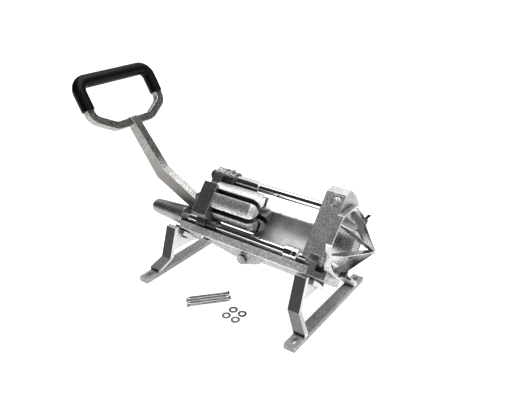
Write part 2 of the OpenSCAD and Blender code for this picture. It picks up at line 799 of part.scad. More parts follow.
clip_t = 1.2;
clip_d = 15;
pin_over = 2.4;
pin_half = lever_t / 2 + lug_gap + lug_t + pin_over;

module lever_pin() placed() color("silver") translate([pivot_x, 0, pivot_z])
    bar_y(-pin_half, pin_half, pin_d);

module pin_clips() placed() color("dimgray") translate([pivot_x, 0, pivot_z])
    for (s = [-1, 1]) mirror([0, s < 0 ? 1 : 0, 0]) translate([0, pin_half - pin_over + seat / 3, 0])
        difference() {
            bar_y(0, clip_t, clip_d);
            bar_y(-over, clip_t + over, pin_d + 2 * fit);
            translate([0, 0, -clip_d]) rotate([0, 45, 0]) cube([clip_d, 4 * clip_t, clip_d], center = true);
        }

/* Lever */

boss_r = 10;

module lever_outline() {
    strut(heel, bend, heel_r, arm_h / 2);
    strut(bend, handle_foot, arm_h / 2, arm_top_h / 2);
    strut(pivot, heel, boss_r, heel_r);
    strut(heel, link_pin, tail_h / 2, tail_h / 2);
    translate(link_pin) circle(eye_r);
}

module lever_arm() placed() color("silver") difference() {
    union() {
        along_y(-lever_t / 2, lever_t / 2) lever_outline();
        handle_frame() bow_ring(handle_d, handle_t);
    }
    translate([pivot_x, 0, pivot_z]) bar_y(-lever_t, lever_t, pin_d + 2 * fit);
    translate([link_pin_x, 0, link_pin_z]) bar_y(-lever_t, lever_t, link_pin_d + 2 * fit);
}

// Plane of the handle: its X runs across the machine and its Y up the handle
module handle_frame() translate([handle_foot[0], 0, handle_foot[1]])
    rotate([0, 90 - (180 - handle_a), 0]) rotate([90, 0, 90]) children();

top_corner_r = 20;
bow_turn = 30;
bow_bend_r = 24;
bow_run = 30;
foot_corner_r = 22;
grip_end = 42;
bow_flat = handle_w / 2 - bow_bend_r * sin(bow_turn) - bow_run * cos(bow_turn)
    - foot_corner_r * (1 - sin(bow_turn));
side_foot = bow_bend_r * (1 - cos(bow_turn)) + bow_run * sin(bow_turn) + foot_corner_r * cos(bow_turn);

// Middles of the bow's bends on one side, each with its radius and the angles where it starts and ends
bow_bends = [
    [[bow_flat, bow_bend_r], bow_bend_r, -90, bow_turn - 90],
    [[handle_w / 2 - foot_corner_r, side_foot], foot_corner_r, bow_turn - 90, 0],
    [[handle_w / 2 - top_corner_r, handle_h - top_corner_r], top_corner_r, 0, 90]
];

// Plate within the bow's middle line, grown by k on every side, with its corners a hair inside the edges
module bow_plate(k) {
    right = [for (b = bow_bends, a = [b[2], b[3]]) b[0] + turn(b[1] + k, a)];
    left = [for (i = [len(right) - 1 : -1 : 0]) [-right[i][0], right[i][1]]];
    polygon(concat(right, left));
    for (b = bow_bends, s = [-1, 1]) translate([s * b[0][0], b[0][1]]) circle(b[1] + k - fit / 2);
}

module bow_ring(w, t) translate([0, 0, -t / 2]) linear_extrude(t) difference() {
    bow_plate(w / 2);
    bow_plate(-w / 2);
}

// Round bar and round corner in the plane of the handle
module bow_bar(p, q, d) translate([p[0], p[1], 0]) rotate([0, 0, heading(p, q)]) bar_x(0, dist(p, q), d);

module top_corner(d) translate([handle_w / 2 - top_corner_r, handle_h - top_corner_r, 0])
    rotate_extrude(angle = 90) translate([top_corner_r, 0]) circle(d = d);

module grip_bow(d) {
    side = handle_w / 2;
    bow_bar([-side + top_corner_r, handle_h], [side - top_corner_r, handle_h], d);
    for (s = [-1, 1]) mirror([s < 0 ? 1 : 0, 0, 0]) {
        top_corner(d);
        bow_bar([side, grip_end], [side, handle_h - top_corner_r], d);
    }
}

module hand_grip() placed() color("black") handle_frame() difference() {
    grip_bow(grip_d);
    bow_ring(handle_d + 2 * fit, handle_t + 2 * fit);
}

/* Link */

module swing_link() placed() color("lightgray") difference() {
    along_y(link_y, link_y + link_t) {
        strut(fulcrum, link_pin, link_h / 2, link_h / 2);
        translate(fulcrum) circle(eye_r);
        translate(link_pin) circle(eye_r);
    }
    translate([fulcrum_x, 0, fulcrum_z]) bar_y(link_y - over, link_y + link_t + over, link_pin_d + 2 * fit);
    translate([link_pin_x, 0, link_pin_z]) bar_y(link_y - over, link_y + link_t + over, link_pin_d + 2 * fit);
}

link_head_h = 1.5;
link_head_d = 17;

module link_bolt() placed() color("dimgray") translate([link_pin_x, 0, link_pin_z]) {
    bar_y(link_y - seat / 3, link_y + link_t, link_pin_d);
    bar_y(link_y - seat / 3 - link_head_h, link_y - seat / 3, link_head_d);
}

head_casting();
blade_ring();
wedge_blades();
blade_hub();
ring_studs();
wing_nuts();
near_guide_rod();
far_guide_rod();
bumper_collar();
rod_front_nuts();
rod_rear_caps();
rear_casting();
trough();
trough_keel();
side_rail();
trough_screws();
front_legs();
rear_legs();
front_foot_bar();
rear_foot_bar();
foot_screws();
frame_bolts();
fulcrum_bolt();
fulcrum_nut();
mounting_screws();
mounting_washers();
carriage_plate();
near_bush();
far_sleeve();
sleeve_screw();
pusher_head();
pusher_screws();
lever_pin();
pin_clips();
lever_arm();
hand_grip();
swing_link();
link_bolt();
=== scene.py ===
# %% [markdown]
# A hand-lever french fry cutter, dressed for its picture.
# The CAD model gives nearly every piece its shape, so this lesson is mostly about light and finish:
# how bare cast aluminium, bright bar, ground steel and dipped vinyl are told apart in one grey picture.

# %% Load the machine
import math

import bmesh
import bpy
from mathutils import Matrix, Vector


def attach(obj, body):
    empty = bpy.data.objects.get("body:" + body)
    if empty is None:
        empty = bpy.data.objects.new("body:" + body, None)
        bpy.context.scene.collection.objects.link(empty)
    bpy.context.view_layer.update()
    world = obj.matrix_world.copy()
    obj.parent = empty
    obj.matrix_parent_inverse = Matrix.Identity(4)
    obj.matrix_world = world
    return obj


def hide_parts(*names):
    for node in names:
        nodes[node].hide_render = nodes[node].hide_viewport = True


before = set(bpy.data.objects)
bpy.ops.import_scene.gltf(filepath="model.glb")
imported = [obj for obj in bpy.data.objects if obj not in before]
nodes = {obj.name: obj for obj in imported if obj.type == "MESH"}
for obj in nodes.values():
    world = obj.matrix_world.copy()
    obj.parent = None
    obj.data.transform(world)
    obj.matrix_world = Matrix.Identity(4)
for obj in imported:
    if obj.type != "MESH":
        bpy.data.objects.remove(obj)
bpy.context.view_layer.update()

MM = 0.001
AXIS_HEIGHT = 146.5  # mm above the table, the line that the potato is pushed along

# %% [markdown]
# The camera stands in front of the machine and to its right, a little over half a metre above the
# table. Its place was solved from the photo: the parallel lines of the feet, rods and legs fix the
# direction of the lens, and known sizes fix the distance. A Track To constraint would be quicker to
# write, but the solved view has its own exact axes, so they are given as a matrix.

# %% Place the camera
CAMERA_AT = Vector((0.343, -0.686, 0.5785))
LOOK_RIGHT = Vector((0.812, 0.5837, 0.0)).normalized()
LOOK_ALONG = Vector((-0.5234, 0.7282, -0.442)).normalized()
LENS_MM, SENSOR_MM, SEE_AS_FAR_AS = 38.07, 36.0, 100.0


def camera_matrix(at, right, along):
    up = right.cross(along)
    axes = Matrix((right, up, -along)).transposed().to_4x4()
    axes.translation = at
    return axes


camera = bpy.data.objects.new("photo_camera", bpy.data.cameras.new("photo_camera"))
bpy.context.scene.collection.objects.link(camera)
camera.matrix_world = camera_matrix(CAMERA_AT, LOOK_RIGHT, LOOK_ALONG)
camera.data.lens = LENS_MM
camera.data.sensor_width = SENSOR_MM
camera.data.clip_end = SEE_AS_FAR_AS
bpy.context.scene.camera = camera
print("camera", tuple(round(v, 3) for v in CAMERA_AT), "lens", LENS_MM, "mm")

# %% [markdown]
# A finish is a graph of nodes. It could be wired link by link, which is long and hard to read. Here one
# small class wraps a socket and turns +, -, *, / and ** into Math nodes, so a finish reads like a sum.
# A number may stand on the left as well, as in 1 - mask, which is what the reflected forms are for.

# %% A socket that can be added and multiplied


class Sock:
    def __init__(self, graph, out):
        self.graph, self.out = graph, out

    def maths(self, operation, other=None, swap=False):
        pair = [other, self] if swap else [self, other]
        sockets = {i: v for i, v in enumerate(pair) if v is not None}
        return self.graph.add("ShaderNodeMath", {"operation": operation}, sockets)

    def __add__(self, other):
        return self.maths("ADD", other)

    def __sub__(self, other):
        return self.maths("SUBTRACT", other)

    def __rsub__(self, other):
        return self.maths("SUBTRACT", other, swap=True)

    def __mul__(self, other):
        return self.maths("MULTIPLY", other)

    def __truediv__(self, other):
        return self.maths("DIVIDE", other)

    def __pow__(self, other):
        return self.maths("POWER", other)

    __radd__, __rmul__ = __add__, __mul__

    def clamp(self):
        return self.graph.add("ShaderNodeClamp", {}, {"Value": self}, "Result")


print("a wrapped socket takes + - * / ** and a number on either side")

# %% [markdown]
# Every other node comes from one method, settings first and sockets next, because a Math node's
# operation or a ramp's stops decide what its sockets are. Colours are mixed with Mix, never with
# Math, which would turn them grey. A fade is the ramp that is needed most: nothing up to one value,
# everything from another, and a soft step between.

# %% A graph with one way to add a node


class Graph:
    def __init__(self, tree):
        self.tree = tree
        tree.nodes.clear()

    def add(self, kind, settings, sockets, out=0):
        made = self.tree.nodes.new(kind)
        for key, value in settings.items():
            if key == "stops":
                self.stops(made.color_ramp, value)
            else:
                setattr(made, key, value)
        for key, value in sockets.items():
            self.plug(made.inputs[key], value)
        return Sock(self, made.outputs[out]) if len(made.outputs) else made

    def stops(self, ramp, stops):
        ramp.interpolation = "EASE"
        while len(ramp.elements) < len(stops):
            ramp.elements.new(0.5)
        for element, (at, level) in zip(ramp.elements, stops):
            element.position = at
            element.color = (level, level, level, 1)

    def plug(self, socket, value):
        if isinstance(value, Sock):
            self.tree.links.new(value.out, socket)
        elif isinstance(value, tuple) and len(value) == 3 and len(socket.default_value) == 4:
            socket.default_value = value + (1,)
        else:
            socket.default_value = value

    def ramp(self, value, stops):
        return self.add("ShaderNodeValToRGB", {"stops": stops}, {"Fac": value})

    def fade(self, value, low, high, start=0.0, end=1.0):
        return self.ramp(value, [(low, start), (high, end)])

    def blend(self, share, low, high, mode="MIX"):
        settings = {"data_type": "RGBA", "blend_type": mode}
        return self.add("ShaderNodeMix", settings, {0: share, 6: low, 7: high}, 2)

    def component(self, axis, vector):
        return self.add("ShaderNodeSeparateXYZ", {}, {0: vector}, axis)


print("a graph can", ", ".join(name for name in vars(Graph) if not name.startswith("_")))

# %% [markdown]
# Textures are laid in the piece's own space, measured in millimetres, so a grain of 2 is 2 mm on the
# real casting and rides along when the lever swings. Stretching one axis turns grain into brush lines.
# Worn corners could be painted by hand. Instead a Bevel node gives the normal of a rounded edge, and
# where it leans away from the flat one there is an arris, on any mesh and without unwrapping it.

# %% Space, grain, corners and crevices
# The last number is the samples of the painted crevice shade.
EDGE_SHARPNESS, EDGE_SAMPLES, SHADE_SAMPLES = 9.0, 4, 6


def space(graph, stretch=(1, 1, 1), turn=(0, 0, 0)):
    place = graph.add("ShaderNodeTexCoord", {}, {}, "Object")
    sockets = {"Vector": place, "Rotation": turn, "Scale": tuple(s / MM for s in stretch)}
    return graph.add("ShaderNodeMapping", {"vector_type": "POINT"}, sockets)


def grain(graph, where, size, detail=3.0, rough=0.55):
    sockets = {"Vector": where, "Scale": 1.0 / size, "Detail": detail, "Roughness": rough}
    return graph.add("ShaderNodeTexNoise", {}, sockets, "Fac")


def soft_edge(graph, radius):
    return graph.add("ShaderNodeBevel", {"samples": EDGE_SAMPLES}, {"Radius": radius * MM})


def edge_mask(graph, rounded):
    flat = graph.add("ShaderNodeNewGeometry", {}, {}, "Normal")
    settings = {"operation": "DOT_PRODUCT"}
    dot = graph.add("ShaderNodeVectorMath", settings, {0: rounded, 1: flat}, "Value")
    return ((1.0 - dot) * EDGE_SHARPNESS).clamp()


# Painted shade: an Ambient Occlusion node darkens the colour where other surfaces come close, in crevices
# and gaps.
def crevice(graph, reach, darkest):
    settings, sockets = {"samples": SHADE_SAMPLES}, {"Distance": reach * MM}
    open_sky = graph.add("ShaderNodeAmbientOcclusion", settings, sockets, "AO")
    return graph.fade(open_sky, 0.35, 0.85, darkest, 1.0)


def darken(graph, tint, shade):
    return graph.blend(1.0, tint, shade, "MULTIPLY")


def bump(graph, height, depth, normal):
    sockets = {"Height": height, "Distance": depth * MM, "Strength": 1.0, "Normal": normal}
    return graph.add("ShaderNodeBump", {}, sockets)


print("corners use", EDGE_SAMPLES, "samples, crevices", SHADE_SAMPLES)

# %% [markdown]
# A finish is a function that fills in the shader's sockets. Two more masks help it: the way that a
# face looks in the piece's own space, and its height above the table. A ramp only reads from 0 to 1,
# so heights are divided by one that is more than the machine has.

# %% Materials, and masks by direction and height
HEIGHT_SCALE = 400.0  # mm
skins = {}


def material(name, build):
    made = bpy.data.materials.new(name)
    made.use_nodes = True
    graph = Graph(made.node_tree)
    shader = graph.add("ShaderNodeBsdfPrincipled", {}, build(graph))
    graph.add("ShaderNodeOutputMaterial", {}, {"Surface": shader})
    skins[name] = made


def facing(graph, axis):
    normal = graph.add("ShaderNodeTexCoord", {}, {}, "Normal")
    settings = {"operation": "DOT_PRODUCT"}
    return graph.add("ShaderNodeVectorMath", settings, {0: normal, 1: axis}, "Value")


def by_height(graph, where, low, high, below, above):
    height = graph.component("Z", where) / HEIGHT_SCALE
    return graph.fade(height, low / HEIGHT_SCALE, high / HEIGHT_SCALE, below, above)


print("heights are read up to", HEIGHT_SCALE, "mm")

# %% [markdown]
# Sand-cast aluminium is never one grey. The sand leaves a pebbled skin, blasting dulls it, and handling
# polishes the corners. A photographed texture would bring one side's light with it, so noise is used:
# a coarse one for blotches and a fine one for pebbles, in the colour and in the bump, with a bright
# worn arris over both, and painted shade darkens the crevices. Two of the castings need more: faces
# that look up can be painted paler, which is painted light from above, and the bore is the radius of
# the head's opening, which is turned and therefore smoother.

# %% Cast aluminium
BLOTCH, ARRIS = 26.0, 1.2  # mm
# How far the castings' painted crevice shade reaches, in mm, and how dark it gets.
SHADE_REACH, CREVICE_SHADE = 7.0, 0.5
# The second grey is the colour of the painted light on faces that look up.
TURNED_GREY, TOP_LIGHT_GREY = (0.62, 0.62, 0.62), (0.85, 0.85, 0.84)
BORE_EDGE = 4.0  # how quickly the turned skin ends, per mm


def bored(graph, where, radius):
    y, z = (graph.component(axis, where) for axis in "YZ")
    away = (y ** 2.0 + (z - AXIS_HEIGHT) ** 2.0) ** 0.5
    return ((radius - away) * BORE_EDGE).clamp()


def cast(dark, light, pebble, depth, rough, metal=0.9, edge=0.85, bore=0.0, top_light=0.0):
    def build(graph):
        where = space(graph)
        fine = grain(graph, where, pebble, 4.0, 0.65)
        blotch = grain(graph, where, BLOTCH, 2.0)
        speck = graph.fade(fine, 0.40, 0.60)
        cloud = graph.fade(blotch, 0.3, 0.7, 0.25, 1.0)
        rounded = soft_edge(graph, ARRIS)
        worn = edge_mask(graph, rounded)
        skin = graph.blend((speck * 0.72 + cloud * 0.28).clamp(), dark, light)
        roughness = rough[0] + fine * (rough[1] - rough[0]) - worn * 0.15
        # Painted light: faces that look up are blended paler, as if lit from above.
        if top_light:
            top = graph.fade(facing(graph, (0, 0, 1)), 0.55, 0.85)
            skin = graph.blend(top * top_light, skin, graph.blend(speck, light, TOP_LIGHT_GREY))
        if bore:
            turned = bored(graph, where, bore)
            skin = graph.blend(turned, skin, TURNED_GREY)
            roughness = roughness * (1.0 - turned * 0.45)
        rubbed = tuple(min(1.0, c * 1.25 + 0.08) for c in light)
        tint = graph.blend(worn * edge, skin, rubbed)
        # The colour is darkened by painted shade in the crevices.
        return {"Base Color": darken(graph, tint, crevice(graph, SHADE_REACH, CREVICE_SHADE)),
                "Metallic": metal, "Roughness": roughness,
                "Normal": bump(graph, fine * 0.8 + blotch * 0.6, depth, rounded)}
    return build


CASTINGS = {
    "blasted_casting": dict(dark=(0.14, 0.14, 0.142), light=(0.56, 0.56, 0.55), pebble=2.0, depth=0.45,
                            rough=(0.36, 0.6), bore=48.0, top_light=0.6),
    "smooth_casting": dict(dark=(0.20, 0.20, 0.195), light=(0.62, 0.62, 0.61), pebble=2.4, depth=0.25,
                           rough=(0.32, 0.5)),
    # The carriage plate and its raised edge are near black, which is painted shade; the plate's upward
    # faces are painted paler, which is painted light.
    "shaded_plate_casting": dict(dark=(0.05, 0.05, 0.052), light=(0.14, 0.14, 0.14), pebble=2.4, depth=0.25,
                          rough=(0.38, 0.55), top_light=0.8),
    "rail_casting": dict(dark=(0.28, 0.28, 0.28), light=(0.97, 0.97, 0.96), pebble=2.2, depth=0.3,
                         rough=(0.34, 0.5), metal=0.6),
    "shaded_plate_edge_casting": dict(dark=(0.09, 0.09, 0.092), light=(0.25, 0.25, 0.25), pebble=2.2, depth=0.3,
                               rough=(0.34, 0.5)),
    "cone_casting": dict(dark=(0.12, 0.12, 0.12), light=(0.44, 0.44, 0.43), pebble=2.0, depth=0.2,
                         rough=(0.24, 0.4)),
    "foot_casting": dict(dark=(0.17, 0.17, 0.17), light=(0.42, 0.42, 0.42), pebble=2.6, depth=0.3,
                         rough=(0.45, 0.6), metal=0.75, edge=0.8),
    "ring_casting": dict(dark=(0.24, 0.24, 0.24), light=(0.70, 0.70, 0.69), pebble=2.0, depth=0.3,
                         rough=(0.24, 0.42), metal=0.95, edge=0.9),
}
for name, recipe in CASTINGS.items():
    material(name, cast(**recipe))
print("castings:", ", ".join(CASTINGS))

# %% [markdown]
# The lever is cast and then ground on its flanks, which gives a warm skin with short lines. Its top is
# left grainy. Its height paints light and shade on it: the top is painted pale low down and nearly
# black above the crank, and above the crank the flanks are painted paler. Masks painted by hand would
# belong to one mesh, so the way that a face looks picks flank or top, and its height picks painted
# light or painted shade.

# %% Ground lever
FLANK_AXIS = (0.87, 0, 0.5)  # a flank looks across this direction, the top and underside along it
# Between these heights the painted light on the lever's top turns to painted shade.
CRANK_LOW, CRANK_HIGH = 160.0, 212.0  # mm, where the top goes from pale to dark
LEVER_ARRIS = 2.0


def linished(graph):
    where = space(graph)
    fine = grain(graph, where, 2.6, 4.0, 0.7)
    speck = graph.fade(fine, 0.38, 0.62)
    lines = grain(graph, space(graph, (0.12, 1.0, 1.4), (0, 0.7, 0)), 1.0, 3.0)
    # Painted light and shade by height: the top is painted dark above the crank, and the flanks paler.
    crank_light_and_shade = by_height(graph, where, CRANK_LOW, CRANK_HIGH, 0.0, 1.0)
    side = graph.fade(facing(graph, FLANK_AXIS).maths("ABSOLUTE"), 0.3, 0.6, 1.0, 0.0)
    rounded = soft_edge(graph, LEVER_ARRIS)
    worn = edge_mask(graph, rounded)
    lit_top = graph.blend(speck, (0.26, 0.255, 0.24), (0.80, 0.79, 0.77))
    shaded_top = graph.blend(speck, (0.015, 0.014, 0.013), (0.15, 0.147, 0.14))
    top = graph.blend(crank_light_and_shade, lit_top, shaded_top)
    ground = graph.blend((lines * 0.6 + speck * 0.4).clamp(), (0.16, 0.15, 0.135), (0.42, 0.405, 0.38))
    flank = graph.blend(crank_light_and_shade * speck * 0.85, ground, (0.52, 0.51, 0.49))
    tint = graph.blend(worn * 0.8, graph.blend(side, top, flank), (0.95, 0.94, 0.92))
    return {"Base Color": tint, "Metallic": 0.85, "Roughness": 0.5 - worn * 0.2 + fine * 0.12,
            "Normal": bump(graph, fine * 0.8 + lines * 0.4, 0.4, rounded)}


material("linished_lever", linished)
print("the lever's top darkens from", CRANK_LOW, "to", CRANK_HIGH, "mm")

# %% [markdown]
# The pusher's fingers are castings that wear bright, with a crisp grain, and painted shade makes the gaps
# between them black.
# The low ones mirror the dark trough in the photo. A reflection of that kind would need the photo's
# exact room, so their height darkens them instead, which holds from every side and along the travel.

# %% Polished fingers
FINGER_ARRIS, GAP_REACH, GAP_SHADE = 1.6, 14.0, 0.12
TROUGH_SHADE_LOW, TROUGH_SHADE_HIGH, TROUGH_SHADE = 134.0, 150.0, 0.36


def polished(graph):
    where = space(graph)
    fine = grain(graph, where, 1.9, 5.0, 0.7)
    rub = grain(graph, space(graph, (0.05, 1.0, 1.0)), 1.8, 3.0)
    blotch = graph.fade(grain(graph, where, 14.0, 2.0), 0.35, 0.65)
    rounded = soft_edge(graph, FINGER_ARRIS)
    share = graph.fade(rub * 0.12 + fine * 0.88, 0.38, 0.55)
    skin = graph.blend(share, (0.21, 0.21, 0.21), (0.97, 0.97, 0.96))
    tint = graph.blend(edge_mask(graph, rounded) * 0.5, skin, (0.95, 0.95, 0.94))
    shade = by_height(graph, where, TROUGH_SHADE_LOW, TROUGH_SHADE_HIGH, TROUGH_SHADE, 1.0)
    # Painted shade darkens the gaps between the fingers and the low fingers.
    return {"Base Color": darken(graph, tint, crevice(graph, GAP_REACH, GAP_SHADE) * shade),
            "Metallic": 0.95, "Roughness": 0.22 + fine * 0.2 + blotch * 0.08,
            "Normal": bump(graph, fine * 0.8 + blotch * 0.15 + rub * 0.15, 0.5, rounded)}


material("polished_casting", polished)
print("fingers darken below", TROUGH_SHADE_HIGH, "mm")

# %% [markdown]
# The legs look enamelled black on their outer faces, while their edges and webs are bare and pale. Two
# materials on a split mesh would do, but one is enough: the outward face is found from its normal, and
# the paint stops short of the rounded corner. The kicked foot looks a little less outward. There a share
# of the paint, kick, is left. The front pair has less of it than the rear pair, and their paler kicks
# are painted light.

# %% Two-tone legs
LEG_ARRIS = 0.8


def two_tone(kick):
    def build(graph):
        where = space(graph)
        fine = grain(graph, where, 1.6, 4.0, 0.6)
        blotch = grain(graph, where, 30.0, 2.0)
        rounded = soft_edge(graph, LEG_ARRIS)
        outward = facing(graph, (0, 1, 0)).maths("ABSOLUTE") - edge_mask(graph, rounded) * 0.35
        paint = graph.ramp(outward, [(0.42, 0.0), (0.45, kick), (0.885, kick), (0.915, 1.0)])
        bare = graph.blend(graph.fade(fine, 0.35, 0.7), (0.62, 0.62, 0.62), (0.92, 0.92, 0.92))
        black = graph.blend(fine, (0.018, 0.018, 0.019), (0.045, 0.045, 0.047))
        return {"Base Color": graph.blend(paint, bare, black), "Metallic": 0.75 - paint * 0.75,
                "Roughness": 0.55 - paint * 0.13,
                "Normal": bump(graph, fine + blotch * 0.5, 0.15, rounded)}
    return build


# The front pair's smaller share of kick paint is painted light on their kicks.
KICKS = {"enamelled_leg": 0.7, "leg_with_lit_kick": 0.5}
for name, kick in KICKS.items():
    material(name, two_tone(kick))
print("legs:", KICKS)

# %% [markdown]
# The guide rods, the collar and the far sleeve are hard-chromed and mirror the room in long lines. A
# perfect mirror looks like glass, so dust varies the gloss and fine rub marks run along the bar.

# %% Chrome


def chrome(graph):
    rub = grain(graph, space(graph, (0.015, 1.0, 1.0)), 0.9, 2.0)
    dust = grain(graph, space(graph), 5.0, 3.0)
    tint = graph.blend(dust, (0.80, 0.80, 0.81), (0.93, 0.93, 0.93))
    return {"Base Color": tint, "Metallic": 1.0, "Roughness": 0.05 + dust * 0.06,
            "Normal": bump(graph, rub, 0.01, soft_edge(graph, 0.4))}


material("hard_chrome", chrome)
print("rods:", skins["hard_chrome"].name)

# %% [markdown]
# Sheet, blade and small hardware are steel too, and differ in how they were worked. The trough's sheet
# is dull, keeps its rolling direction and has painted shade where it is shut in. A blade is ground
# across. Plated hardware is a soft grey, and the loose screws are darker. One recipe serves all four:
# the stretch of the noise sets which way the lines run, and equal stretch gives no lines at all.

# %% Sheet, blade and hardware
# The second number is how dark the painted shade gets where the sheet is shut in.
LINE_DEPTH, SHUT_IN_SHADE = 0.03, 0.4


def brushed(dark, light, stretch, rough, edge=0.0, shut_in_reach=0.0):
    def build(graph):
        lines = grain(graph, space(graph, stretch), 0.7, 4.0, 0.7)
        cloud = grain(graph, space(graph), 22.0, 3.0)
        rounded = soft_edge(graph, 0.35)
        share = graph.fade((lines * 0.5 + cloud * 0.5).clamp(), 0.3, 0.7)
        tint = graph.blend(share, dark, light)
        tint = graph.blend(edge_mask(graph, rounded) * edge, tint, (0.95, 0.95, 0.95))
        # Painted shade: Ambient Occlusion darkens the colour where the sheet is shut in.
        if shut_in_reach:
            tint = darken(graph, tint, crevice(graph, shut_in_reach, SHUT_IN_SHADE))
        return {"Base Color": tint, "Metallic": 1.0, "Roughness": rough[0] + cloud * (rough[1] - rough[0]),
                "Normal": bump(graph, lines, LINE_DEPTH, rounded)}
    return build


STEELS = {
    "rolled_sheet": dict(dark=(0.40, 0.402, 0.405), light=(0.66, 0.665, 0.67), stretch=(0.02, 1, 1),
                         rough=(0.52, 0.66), shut_in_reach=45.0),
    "ground_blade": dict(dark=(0.20, 0.20, 0.195), light=(0.66, 0.66, 0.65), stretch=(1, 0.05, 0.05),
                         rough=(0.14, 0.3), edge=0.8),
    "zinc_plate": dict(dark=(0.16, 0.16, 0.155), light=(0.50, 0.50, 0.49), stretch=(1, 1, 1),
                       rough=(0.22, 0.4), edge=0.5),
    "screw_steel": dict(dark=(0.07, 0.07, 0.068), light=(0.34, 0.34, 0.33), stretch=(1, 1, 1),
                        rough=(0.22, 0.4), edge=0.5),
}
for name, recipe in STEELS.items():
    material(name, brushed(**recipe))
print("steels:", ", ".join(STEELS))

# %% [markdown]
# The grip was dipped in black vinyl: smooth, with a faint gloss, slow ripples and a few scuffs. A
# clear coat is what gives the thin highlight over a black that stays black.

# %% Vinyl


def vinyl(graph):
    ripple = grain(graph, space(graph), 7.0, 2.0)
    scuff = graph.fade(grain(graph, space(graph, (1, 0.25, 1)), 2.2, 5.0, 0.75), 0.55, 0.8)
    tint = graph.blend(scuff, (0.0015, 0.0015, 0.0015), (0.014, 0.014, 0.014))
    return {"Base Color": tint, "Roughness": 0.34 + scuff * 0.2, "Coat Weight": 0.07 - scuff * 0.05,
            "Coat Roughness": 0.05, "Specular IOR Level": 0.07,
            "Normal": bump(graph, ripple, 0.35, soft_edge(graph, 1.0))}


material("dipped_vinyl", vinyl)
print("grip:", skins["dipped_vinyl"].name)

# %% [markdown]
# Small dark hardware is oiled black steel, darker than the castings and with bright rubbed corners.
# The ring's two studs are threaded. At this size a modelled thread would be many faces for a pixel or
# two, so a sine along the stud makes it in the bump.

# %% Black oxide
THREAD_TURN, THREAD_HEIGHT = 2 * math.pi, 4.0


def oxide(thread):
    def build(graph):
        fine = grain(graph, space(graph), 0.9, 4.0)
        rounded = soft_edge(graph, 0.5)
        tint = graph.blend(fine, (0.012, 0.012, 0.012), (0.06, 0.058, 0.055))
        tint = graph.blend(edge_mask(graph, rounded) * 0.7, tint, (0.45, 0.45, 0.44))
        height = fine
        if thread:
            turns = graph.component("X", space(graph, (1.0 / thread, 0, 0)))
            height = (turns * THREAD_TURN).maths("SINE") * THREAD_HEIGHT + fine
        return {"Base Color": tint, "Metallic": 0.6, "Roughness": 0.34 + fine * 0.15,
                "Normal": bump(graph, height, 0.08, rounded)}
    return build


PITCHES = {"black_oxide_steel": 0.0, "black_thread": 1.0}  # mm, and none for plain hardware
for name, thread in PITCHES.items():
    material(name, oxide(thread))
print("black steel:", PITCHES)

# %% [markdown]
# Each CAD piece keeps its mesh, and its finish goes into its material slots, so nothing moves. It could
# be done one line a piece, but a table from finish to pieces shows at a glance what shares a skin.

# %% Dress the CAD pieces
FINISH = {
    "blasted_casting": ["head_casting"],
    "cone_casting": ["rear_casting"],
    "smooth_casting": ["trough_keel", "swing_link"],
    "rail_casting": ["side_rail"],
    "shaded_plate_casting": ["carriage_plate", "near_bush"],
    "foot_casting": ["front_foot_bar", "rear_foot_bar"],
    "enamelled_leg": ["rear_legs"],
    "leg_with_lit_kick": ["front_legs"],
    "linished_lever": ["lever_arm"],
    "ring_casting": ["blade_ring"],
    "polished_casting": ["pusher_head"],
    "hard_chrome": ["near_guide_rod", "far_guide_rod", "bumper_collar", "far_sleeve"],
    "rolled_sheet": ["trough"],
    "ground_blade": ["wedge_blades", "blade_hub"],
    "screw_steel": ["mounting_washers", "mounting_screws"],
    "zinc_plate": ["rod_front_nuts", "trough_screws", "frame_bolts", "sleeve_screw", "pusher_screws",
                   "lever_pin", "fulcrum_bolt", "fulcrum_nut"],
    "black_oxide_steel": ["wing_nuts", "rod_rear_caps", "foot_screws", "pin_clips", "link_bolt"],
    "black_thread": ["ring_studs"],
    "dipped_vinyl": ["hand_grip"],
}
for skin, names in FINISH.items():
    for name in names:
        for slot in nodes[name].material_slots:
            slot.material = skins[skin]
dressed = {name for names in FINISH.values() for name in names}
print("dressed", len(dressed), "of", len(nodes), "- left:", sorted(set(nodes) - dressed))

# %% [markdown]
# Three pieces are made here. All are stacks of rings: closed outlines, one above the other, joined by
# quads and capped at both ends. That gives a closed mesh with known corners, where a boolean would
# leave slivers. Edges sharper than a given angle stay crisp, and the rest is shaded smooth.

# %% Stacks of rings
CRISP_ANGLE = math.radians(30)


def add_rings(mesh, rings):
    made = [[mesh.verts.new(point) for point in ring] for ring in rings]
    count = len(made[0])
    for a, b in zip(made, made[1:]):
        for k in range(count):
            mesh.faces.new((a[k], b[k], b[(k + 1) % count], a[(k + 1) % count]))
    mesh.faces.new(made[0])
    mesh.faces.new(list(reversed(made[-1])))


def finish_mesh(name, mesh, skin):
    bmesh.ops.recalc_face_normals(mesh, faces=mesh.faces)
    data = bpy.data.meshes.new(name)
    mesh.to_mesh(data)
    mesh.free()
    piece = bpy.data.objects.new(name, data)
    bpy.context.scene.collection.objects.link(piece)
    data.materials.append(skin)
    for polygon in data.polygons:
        polygon.use_smooth = True
    data.set_sharp_from_angle(angle=CRISP_ANGLE)
    return piece


print("edges over", round(math.degrees(CRISP_ANGLE)), "degrees stay crisp")

# %% [markdown]
# The loose fixing screws show their threads, so they are modelled again as long wood screws. A thread is
# a ridge that climbs one pitch per turn: the radius of each point is worked out from its place along the
# screw and its angle. A Screw modifier would need its ends trimmed, and this runs out by itself.

